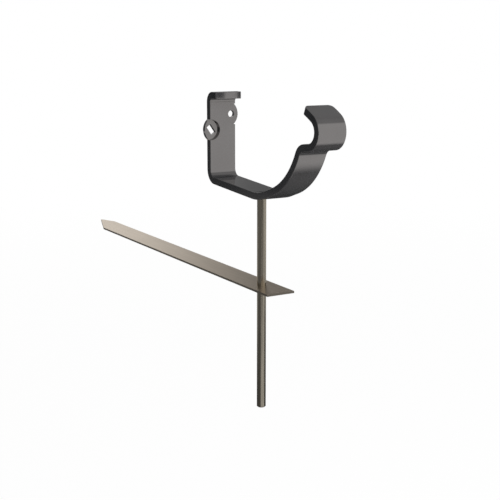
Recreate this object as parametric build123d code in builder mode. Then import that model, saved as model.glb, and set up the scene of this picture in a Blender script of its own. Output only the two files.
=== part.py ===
from build123d import *
from math import cos, radians, tan
import os

os.makedirs("parts", exist_ok=True)

# Millimetres. Z is up, X runs along the gutter and Y points at the wall.
# The origin is on the seat that the gutter rests on, over the axis of the rod.

# Flat bar stock that the bracket is bent from
strap_width = 25.0
strap_thickness = 6.0
strap_edge_radius = 0.4

# Back leg, and the lip that holds the gutter's rear edge down
leg_face_y = 66.6
lip_underside_z = 71.5
lip_reach = 10.9
lip_bend_radius = 3.0
lip_corner_radius = 1.0
heel_bend_radius = 6.5

# Fall of the seat towards the front, in degrees, so that a full gutter spills away from the wall
seat_fall = 3.6

# Front of the strap: radius of each bend's inner face, its angle in degrees, and the flats between
seat_front = 3.9
sweep_start_radius = 53.8
sweep_start_angle = 22.3
sweep_straight = 10.8
sweep_radius = 59.2
sweep_angle = 46.1
rise_straight = 0.5
shoulder_radius = 13.0
shoulder_angle = 58.3
shelf_straight = 7.1
hook_radius = 8.7
hook_angle = 144.0
hook_top_radius = 110.0
hook_top_angle = 7.0
hook_corner_radius = 4.0

# Ears pressed out of the edges of the back leg: a round dent in the front, and metal that bulges sideways
ear_thickness = 3.4
ear_reach = 3.9
ear_half_height = 8.9
dent_radius = 9.0
dent_inset = 0.7
slot_ear_z = 44.6
slot_inset = 2.4
slot_length = 8.7
slot_width = 4.7
slot_corner_radius = 0.4
slot_tilt = -55.0
bore_ear_z = 57.7
bore_inset = 2.6
bore_radius = 3.0

# Rod under the seat, and the spike that it slides through; the heel is the spike's short end past the rod
rod_radius = 3.85
rod_end_z = -189.1
rod_end_chamfer = 0.7
rod_clearance = 0.08
spike_width = 26.0
spike_thickness = 1.8
spike_top_z = -81.4
spike_length = 402.5
spike_heel = 30.7
spike_near_cut = 52.0
spike_far_cut = 21.0
spike_tip_x = 4.9

half_strap = strap_width / 2
half_spike = spike_width / 2
dent_depth = strap_thickness - ear_thickness
seat_plane = Plane.XY.rotated((seat_fall, 0, 0))
heel_angle = 90 - seat_fall
heel_setback = heel_bend_radius * tan(radians(heel_angle / 2))
corner_z = leg_face_y * tan(radians(seat_fall))
corner_reach = leg_face_y / cos(radians(seat_fall))
spike_tip_y = spike_length - spike_heel

# How far an edge may be off the strap's thickness and still count as crossing it
crossing_tolerance = 1e-4


def bend(before, radius, angle):
    return JernArc(start=before @ 1, tangent=before % 1, radius=radius, arc_size=angle)


def straight(before, length):
    return Line(before @ 1, before @ 1 + (before % 1) * length)


def crosses_strap(edge):
    return edge.geom_type == GeomType.LINE and abs(edge.length - strap_thickness) < crossing_tolerance


# The strap's inner face is drawn bend by bend, from the lip round to the tip of the hook
with BuildPart() as strap:
    with BuildSketch(Plane.YZ):
        with BuildLine():
            lip_end_y = leg_face_y - lip_reach
            lip = Line((lip_end_y, lip_underside_z), (leg_face_y - lip_bend_radius, lip_underside_z))
            lip_bend = bend(lip, lip_bend_radius, -90)
            leg = straight(lip_bend, lip_underside_z - lip_bend_radius - corner_z - heel_setback)
            heel = bend(leg, heel_bend_radius, -heel_angle)
            seat = straight(heel, corner_reach - heel_setback + seat_front)
            sweep_start = bend(seat, sweep_start_radius, -sweep_start_angle)
            sweep_flat = straight(sweep_start, sweep_straight)
            sweep = bend(sweep_flat, sweep_radius, -sweep_angle)
            rise = straight(sweep, rise_straight)
            shoulder = bend(rise, shoulder_radius, shoulder_angle)
            shelf = straight(shoulder, shelf_straight)
            hook = bend(shelf, hook_radius, -hook_angle)
            hook_top = bend(hook, hook_top_radius, -hook_top_angle)
            offset(amount=strap_thickness, side=Side.LEFT)
        make_face()
    extrude(amount=half_strap, both=True)

    # Corners of the two ends, then the long edges, whose rounding runs on round each end
    end_corners = strap.faces().filter_by(Axis.X).edges().filter_by(crosses_strap)
    fillet(end_corners.group_by(Axis.Y)[0], radius=hook_corner_radius)
    fillet(end_corners.filter_by(Axis.Z), radius=lip_corner_radius)
    side_edges = strap.faces().filter_by(Axis.X).edges()
    fillet(side_edges - side_edges.filter_by(crosses_strap), radius=strap_edge_radius)

    # An ear on each edge of the back leg: the dent in front, and the bulge behind it
    for side, ear_z in ((-1, slot_ear_z), (1, bore_ear_z)):
        with BuildSketch(Plane.XZ.offset(-leg_face_y)):
            with Locations((side * (half_strap - dent_inset), ear_z)):
                Circle(dent_radius)
        extrude(amount=-dent_depth, mode=Mode.SUBTRACT)
        with BuildSketch(Plane.XZ.offset(-leg_face_y - dent_depth)):
            with BuildLine():
                top = (side * half_strap, ear_z + ear_half_height)
                foot = (side * half_strap, ear_z - ear_half_height)
                root_x = side * (half_strap - dent_inset)
                ThreePointArc(top, (side * (half_strap + ear_reach), ear_z), foot)
                Polyline(foot, (root_x, foot[1]), (root_x, top[1]), top)
            make_face()
        extrude(amount=-ear_thickness)

    # A tilted slot through the left ear and a screw hole through the right one
    with BuildSketch(Plane.XZ.offset(-leg_face_y)):
        with Locations((slot_inset - half_strap, slot_ear_z)):
            RectangleRounded(slot_length, slot_width, slot_corner_radius, rotation=slot_tilt)
        with Locations((half_strap - bore_inset, bore_ear_z)):
            Circle(bore_radius)
    extrude(amount=-strap_thickness, mode=Mode.SUBTRACT)

# Rod, its top cut to the fall of the seat that it is welded under
with BuildPart() as rod:
    with BuildSketch(Plane.XY.offset(rod_end_z)):
        Circle(rod_radius)
    extrude(amount=-rod_end_z)
    split(bisect_by=seat_plane.offset(-strap_thickness), keep=Keep.BOTTOM)
    chamfer(rod.edges().group_by(Axis.Z)[0], length=rod_end_chamfer)

# Spike, a flat bar cut to a lopsided point, with the rod's hole near its square end
with BuildPart() as spike:
    with BuildSketch(Plane.XY.offset(spike_top_z)):
        with BuildLine():
            Polyline(
                (-half_spike, -spike_heel),
                (half_spike, -spike_heel),
                (half_spike, spike_tip_y - spike_far_cut),
                (spike_tip_x, spike_tip_y),
                (-half_spike, spike_tip_y - spike_near_cut),
                close=True,
            )
        make_face()
        Circle(rod_radius + rod_clearance, mode=Mode.SUBTRACT)
    extrude(amount=-spike_thickness)

for name, piece in (("strap", strap), ("rod", rod), ("spike", spike)):
    piece.part.label = name
    export_step(piece.part, f"parts/{name}.step")
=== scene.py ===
import math

import bpy
import numpy as np
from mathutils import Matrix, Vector

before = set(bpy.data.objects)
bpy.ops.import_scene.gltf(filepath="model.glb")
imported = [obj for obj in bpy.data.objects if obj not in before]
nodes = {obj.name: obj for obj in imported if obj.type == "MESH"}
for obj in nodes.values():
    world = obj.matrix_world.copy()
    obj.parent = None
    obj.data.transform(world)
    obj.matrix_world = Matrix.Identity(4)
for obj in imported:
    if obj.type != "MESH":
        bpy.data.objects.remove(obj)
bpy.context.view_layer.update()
print("frame loaded:", ", ".join(sorted(nodes)))

# Camera: the photograph's view, fitted to the outlines of the strap, the rod and the spike
cameraValues = {
    "azimuth": -30.197,         # degrees, 0 looks along +Y
    "elevation": 11.662,        # degrees above the horizon
    "place": (-0.41743, -0.69797, 0.11671),
    "lens": 71.453,             # millimetres
    "sensorWidth": 36.0,        # millimetres
    "nearest": 0.01,            # metres, as is the next
    "farthest": 50.0,
}


def makeCamera(values):
    data = bpy.data.cameras.new("photoCamera")
    data.lens = values["lens"]
    data.sensor_width = values["sensorWidth"]
    data.clip_start = values["nearest"]
    data.clip_end = values["farthest"]
    camera = bpy.data.objects.new("photoCamera", data)
    azimuth, elevation = math.radians(values["azimuth"]), math.radians(values["elevation"])
    flat = math.cos(elevation)
    back = Vector((math.sin(azimuth) * flat, -math.cos(azimuth) * flat, math.sin(elevation)))
    camera.location = values["place"]
    camera.rotation_mode = "QUATERNION"
    camera.rotation_quaternion = (-back).to_track_quat("-Z", "Y")
    bpy.context.collection.objects.link(camera)
    bpy.context.scene.camera = camera


makeCamera(cameraValues)
print("camera placed")


# Small helpers for node trees
def newMaterial(name):
    material = bpy.data.materials.new(name)
    material.use_nodes = True
    material.node_tree.nodes.clear()
    return material, material.node_tree


def addNode(tree, kind, inputs=None, **settings):
    node = tree.nodes.new(kind)
    for key, value in settings.items():
        setattr(node, key, value)
    for key, value in (inputs or {}).items():
        if isinstance(value, bpy.types.NodeSocket):
            tree.links.new(value, node.inputs[key])
        else:
            node.inputs[key].default_value = value
    return node


def addRamp(tree, factor, low, high):
    ramp = addNode(tree, "ShaderNodeValToRGB", {"Fac": factor})
    for element, (position, colour) in zip(ramp.color_ramp.elements, (low, high)):
        element.position = position
        element.color = (*colour, 1.0)
    return ramp.outputs["Color"]


# Paint on the strap: dark grey gloss, with a faint orange peel and a slight drift of tone
paintLook = {
    "dark": (0.017, 0.018, 0.0205),
    "light": (0.024, 0.025, 0.027),
    "toneSpan": (0.35, 0.65),   # part of the noise over which dark becomes light
    "toneScale": 40.0,
    "toneDetail": 3.0,
    "peelScale": 420.0,
    "peelDetail": 2.0,
    "peelHeight": 0.0000008,
    "tint": (1.0, 0.945, 0.915),
    "roughness": 0.03,
    "ior": 2.45,                # high, so that the gloss mirrors as strongly as the photograph's
}


def makePaint(look):
    material, tree = newMaterial("anthracitePaint")
    place = addNode(tree, "ShaderNodeTexCoord").outputs["Object"]
    tone = addNode(tree, "ShaderNodeTexNoise", {
        "Vector": place, "Scale": look["toneScale"], "Detail": look["toneDetail"],
    })
    peel = addNode(tree, "ShaderNodeTexNoise", {
        "Vector": place, "Scale": look["peelScale"], "Detail": look["peelDetail"],
    })
    start, end = look["toneSpan"]
    colour = addRamp(tree, tone.outputs["Fac"], (start, look["dark"]), (end, look["light"]))
    bump = addNode(tree, "ShaderNodeBump", {
        "Height": peel.outputs["Fac"], "Distance": look["peelHeight"], "Strength": 1.0,
    })
    shader = addNode(tree, "ShaderNodeBsdfPrincipled", {
        "Base Color": colour, "Normal": bump.outputs["Normal"], "Roughness": look["roughness"],
        "IOR": look["ior"], "Specular Tint": (*look["tint"], 1.0),
    })
    addNode(tree, "ShaderNodeOutputMaterial", {"Surface": shader.outputs["BSDF"]})
    return material


# Bare rolled steel: warm grey, with fine streaks along the piece
rodLook = {
    "dark": (0.240, 0.217, 0.176),
    "light": (0.345, 0.312, 0.254),
    "streakSpan": (0.3, 0.7),   # part of the noise over which dark becomes light
    "streakScale": (900.0, 900.0, 25.0),
    "streakDetail": 4.0,
    "streakHeight": 0.000006,
    "paintedSideShade": 1.0,           # share of the tone left on upright faces, as painted shade; 1 paints none
    "rim": (1.0, 0.96, 0.90),
    "roughness": 0.22,
}
spikeLook = {
    "dark": (0.54, 0.475, 0.398),
    "light": (0.64, 0.563, 0.472),
    "streakSpan": (0.3, 0.7),
    "streakScale": (900.0, 25.0, 900.0),
    "streakDetail": 4.0,
    "streakHeight": 0.000004,
    "paintedSideShade": 0.25,          # painted shade: the spike's upright faces are darkened to stand in for their dark reflections
    "rim": (1.0, 0.96, 0.91),
    "roughness": 0.30,
}
levelStep = (0.49, 0.51)        # how straight up a face looks, from counting as upright to level


# Painted shade: share of the tone on a face, all of it where the face lies level, less where it stands
# upright
def addPaintedSideShade(tree, texture, look):
    parts = addNode(tree, "ShaderNodeSeparateXYZ", {"Vector": texture.outputs["Normal"]})
    level = addNode(tree, "ShaderNodeMath", {0: parts.outputs["Z"]}, operation="ABSOLUTE")
    shade = addNode(tree, "ShaderNodeMapRange", {
        "Value": level.outputs[0], "From Min": levelStep[0], "From Max": levelStep[1],
        "To Min": look["paintedSideShade"], "To Max": 1.0,
    })
    return shade.outputs["Result"]


def makeSteel(name, look):
    material, tree = newMaterial(name)
    texture = addNode(tree, "ShaderNodeTexCoord")
    stretched = addNode(tree, "ShaderNodeMapping", {
        "Vector": texture.outputs["Object"], "Scale": look["streakScale"],
    })
    streak = addNode(tree, "ShaderNodeTexNoise", {
        "Vector": stretched.outputs["Vector"], "Scale": 1.0, "Detail": look["streakDetail"],
    })
    start, end = look["streakSpan"]
    rolled = addRamp(tree, streak.outputs["Fac"], (start, look["dark"]), (end, look["light"]))
    # Painted shade: the rolled colour, darkened on upright faces
    colour = addNode(tree, "ShaderNodeVectorMath", {
        0: rolled, "Scale": addPaintedSideShade(tree, texture, look),
    }, operation="SCALE")
    bump = addNode(tree, "ShaderNodeBump", {
        "Height": streak.outputs["Fac"], "Distance": look["streakHeight"], "Strength": 1.0,
    })
    shader = addNode(tree, "ShaderNodeBsdfPrincipled", {
        "Base Color": colour.outputs[0], "Metallic": 1.0, "Roughness": look["roughness"],
        "Normal": bump.outputs["Normal"], "Specular Tint": (*look["rim"], 1.0),
    })
    addNode(tree, "ShaderNodeOutputMaterial", {"Surface": shader.outputs["BSDF"]})
    return material


def dress(name, material):
    piece = nodes[name]
    piece.data.materials.clear()
    piece.data.materials.append(material)


dress("strap", makePaint(paintLook))
dress("rod", makeSteel("rodSteel", rodLook))
dress("spike", makeSteel("spikeSteel", spikeLook))
print("materials made")

# Studio: a pale floor well below the held bracket, under soft lamps
floorValues = {
    "height": -0.42,
    "halfWidth": 12.0,
    "colour": (0.9, 0.9, 0.9),
    "white": (0.95, 1.0),       # share of plain white that the camera sees, near and far
    "fade": (0.8, 2.6),         # metres from the bracket over which near becomes far
}
worldValues = {"ambient": 0.55}
lampValues = {
    "keyLamp": {"place": (0.9, -1.3, 1.0), "size": 1.2, "power": 30.0},
    "fillLamp": {"place": (-1.4, -0.6, 0.6), "size": 1.0, "power": 3.0},
}

# Boards that only reflections see: each spans azimuths and elevations in degrees, as from, to and
# the width of its soft edges, and its tone is read off its list of elevations and tones. Tone 1 is
# plain white, and more is the glow of a lamp
surroundValues = {
    "radius": 200.0,            # metres; far off, so that the boards stand still across the bracket
    "step": 1.0,                # degrees
    "plainWhite": 0.998,        # a tone that the world's own white stands in for
    "boards": [
        # Overhead
        {"azimuth": (-180.0, 180.0, 1.0), "elevation": (38.5, 99.0, 9.0), "tones": [(0.0, 0.48)]},
        # Low in front, for the rod and the underside of the sweep
        {"azimuth": (-70.0, 33.0, 3.0), "elevation": (-60.0, -9.0, 2.0),
         "tones": [(-18.0, 1.05), (-10.0, 0.42)]},
        # Behind, for the seat, the top of the spike and the side of the strap
        {"azimuth": (72.0, 262.0, 30.0), "elevation": (-99.0, 99.0, 4.0),
         "tones": [(-57.0, 0.21), (-40.0, 0.11), (-23.0, 0.05), (-9.0, 0.06), (-3.0, 0.03), (4.0, 0.03),
                   (8.0, 0.06), (10.5, 0.15), (16.0, 0.20), (30.0, 0.22), (48.0, 0.38), (60.0, 0.42)]},
        # To the left, for the left of the rod
        {"azimuth": (236.0, 318.0, 24.0), "elevation": (-99.0, 99.0, 4.0),
         "tones": [(-18.0, 0.12), (-10.0, 0.30), (39.0, 0.2)]},
        # Straight ahead, for the dark middle of the rod
        {"azimuth": (316.0, 372.0, 20.0), "elevation": (-14.5, 8.0, 6.0), "tones": [(0.0, 0.16)]},
        # Low on the right, and a light strip over it, for the right of the rod
        {"azimuth": (43.0, 110.0, 4.0), "elevation": (-27.0, -14.0, 4.0), "tones": [(0.0, 0.08)]},
        {"azimuth": (74.0, 128.0, 8.0), "elevation": (-14.5, -5.5, 4.0), "tones": [(0.0, 1.1)]},
        # Low behind, for the left rim of the rod
        {"azimuth": (172.0, 238.0, 16.0), "elevation": (-17.0, -9.4, 1.6), "tones": [(0.0, 0.55)]},
        # Light behind, which the far end of the spike catches
        {"azimuth": (154.0, 188.0, 12.0), "elevation": (1.0, 31.0, 6.0), "tones": [(0.0, 1.1)]},
    ],
}

# Crisp boards, whose edges cross the end of the lip
crispValues = {
    "radius": 190.0,
    "points": 24,               # along each side
    "boards": [
        {"azimuth": (20.0, 28.75), "elevation": (-2.97, -2.2), "tone": 0.13},
        {"azimuth": (29.50, 33.0), "elevation": (-2.97, -2.0), "tone": 0.0},
    ],
}


def seenDirectly(tree):
    path = addNode(tree, "ShaderNodeLightPath")
    pair = addNode(tree, "ShaderNodeMath", {
        0: path.outputs["Is Camera Ray"], 1: path.outputs["Is Glossy Ray"],
    }, operation="MAXIMUM")
    both = addNode(tree, "ShaderNodeMath", {
        0: pair.outputs[0], 1: path.outputs["Is Transmission Ray"],
    }, operation="MAXIMUM")
    return both.outputs[0]


def makeFloor(values):
    half, height = values["halfWidth"], values["height"]
    mesh = bpy.data.meshes.new("floor")
    corners = [(-half, -half, height), (half, -half, height), (half, half, height), (-half, half, height)]
    mesh.from_pydata(corners, [], [(0, 1, 2, 3)])
    material, tree = newMaterial("paleFloor")
    place = addNode(tree, "ShaderNodeTexCoord").outputs["Object"]
    distance = addNode(tree, "ShaderNodeVectorMath", {0: place}, operation="LENGTH")
    (nearEnd, farEnd), (nearWhite, farWhite) = values["fade"], values["white"]
    fade = addNode(tree, "ShaderNodeMapRange", {
        "Value": distance.outputs["Value"], "From Min": nearEnd, "From Max": farEnd,
        "To Min": nearWhite, "To Max": farWhite,
    })
    diffuse = addNode(tree, "ShaderNodeBsdfDiffuse", {"Color": (*values["colour"], 1.0)})
    white = addNode(tree, "ShaderNodeEmission", {"Color": (1.0, 1.0, 1.0, 1.0), "Strength": 1.0})
    share = addNode(tree, "ShaderNodeMath", {
        0: seenDirectly(tree), 1: fade.outputs["Result"],
    }, operation="MULTIPLY")
    mixed = addNode(tree, "ShaderNodeMixShader", {
        0: share.outputs[0], 1: diffuse.outputs[0], 2: white.outputs[0],
    })
    addNode(tree, "ShaderNodeOutputMaterial", {"Surface": mixed.outputs[0]})
    mesh.materials.append(material)
    floor = bpy.data.objects.new("floor", mesh)
    floor.visible_glossy = False
    bpy.context.collection.objects.link(floor)


def makeWorld(values):
    world = bpy.data.worlds.new("studio")
    world.use_nodes = True
    tree = world.node_tree
    tree.nodes.clear()
    grey, white = (
        addNode(tree, "ShaderNodeBackground", {"Color": (1.0, 1.0, 1.0, 1.0), "Strength": strength})
        for strength in (values["ambient"], 1.0)
    )
    mixed = addNode(tree, "ShaderNodeMixShader", {
        0: seenDirectly(tree), 1: grey.outputs[0], 2: white.outputs[0],
    })
    addNode(tree, "ShaderNodeOutputWorld", {"Surface": mixed.outputs[0]})
    bpy.context.scene.world = world


# A soft round lamp, aimed at the origin
def makeLamp(name, values):
    data = bpy.data.lights.new(name, "AREA")
    data.shape = "DISK"
    data.size = values["size"]
    data.energy = values["power"]
    lamp = bpy.data.objects.new(name, data)
    lamp.location = values["place"]
    lamp.rotation_mode = "QUATERNION"
    lamp.rotation_quaternion = (-Vector(values["place"])).to_track_quat("-Z", "Y")
    lamp.visible_glossy = False
    bpy.context.collection.objects.link(lamp)


# Formula: azimuth 0 lies towards -Y and grows towards +X; elevation is measured up from the horizon
def onSphere(azimuth, elevation, radius):
    turn, rise = np.radians(azimuth), np.radians(elevation)
    flat = np.cos(rise)
    return radius * np.stack([np.sin(turn) * flat, -np.cos(turn) * flat, np.sin(rise)], axis=-1)


# Four neighbouring points of a grid make each face
def gridQuads(shape):
    index = np.arange(shape[0] * shape[1]).reshape(shape)
    corners = [index[:-1, :-1], index[:-1, 1:], index[1:, 1:], index[1:, :-1]]
    return np.stack(corners, axis=-1).reshape(-1, 4)


# Share of a board at an angle: 1 inside its span, 0 outside, and a smooth step across each edge
def boardShare(angle, low, high, soft):
    middle = (low + high) / 2
    away = np.abs((angle - middle + 180.0) % 360.0 - 180.0)
    step = np.clip(((high - low) / 2 - away) / soft + 0.5, 0.0, 1.0)
    return step * step * (3.0 - 2.0 * step)


# A mesh that only reflections see, glowing as bright as the level given at each of its points
def hangBoard(name, points, quads, glow):
    mesh = bpy.data.meshes.new(name)
    mesh.from_pydata(points.reshape(-1, 3).tolist(), [], quads.tolist())
    tone = mesh.attributes.new("glow", "FLOAT", "POINT")
    tone.data.foreach_set("value", glow.reshape(-1).astype(np.float32))
    material, tree = newMaterial(name)
    level = addNode(tree, "ShaderNodeAttribute", attribute_name="glow").outputs["Fac"]
    shine = addNode(tree, "ShaderNodeEmission", {"Color": (1.0, 1.0, 1.0, 1.0), "Strength": level})
    addNode(tree, "ShaderNodeOutputMaterial", {"Surface": shine.outputs[0]})
    mesh.materials.append(material)
    board = bpy.data.objects.new(name, mesh)
    board.visible_camera = False
    board.visible_diffuse = False
    board.visible_transmission = False
    board.visible_shadow = False
    bpy.context.collection.objects.link(board)


# Formula: a sphere round the bracket, whose glow starts white and is drawn to each board's tone in turn
def makeSurround(values):
    gap = values["step"]
    across, along = np.meshgrid(
        np.arange(0.0, 360.0 + gap / 2, gap), np.arange(-90.0, 90.0 + gap / 2, gap), indexing="ij")
    glow = np.ones_like(across)
    for board in values["boards"]:
        heights, tones = zip(*board["tones"])
        share = boardShare(across, *board["azimuth"]) * boardShare(along, *board["elevation"])
        glow += share * (np.interp(along, heights, tones) - glow)
    quads = gridQuads(across.shape)
    toned = glow.reshape(-1)[quads].min(axis=1) < values["plainWhite"]
    hangBoard("surround", onSphere(across, along, values["radius"]), quads[toned], glow)


# Formula: patches of a sphere, each between two azimuths and two elevations
def makeCrispBoards(values):
    for number, board in enumerate(values["boards"], start=1):
        sides = [np.linspace(*board[side], values["points"]) for side in ("azimuth", "elevation")]
        across, along = np.meshgrid(*sides, indexing="ij")
        points = onSphere(across, along, values["radius"])
        glow = np.full(across.shape, board["tone"])
        hangBoard(f"crispBoard{number}", points, gridQuads(across.shape), glow)


makeFloor(floorValues)
makeWorld(worldValues)
for lampName, lamp in lampValues.items():
    makeLamp(lampName, lamp)
makeSurround(surroundValues)
makeCrispBoards(crispValues)
bpy.context.scene.view_settings.view_transform = "Standard"
print("studio lit")
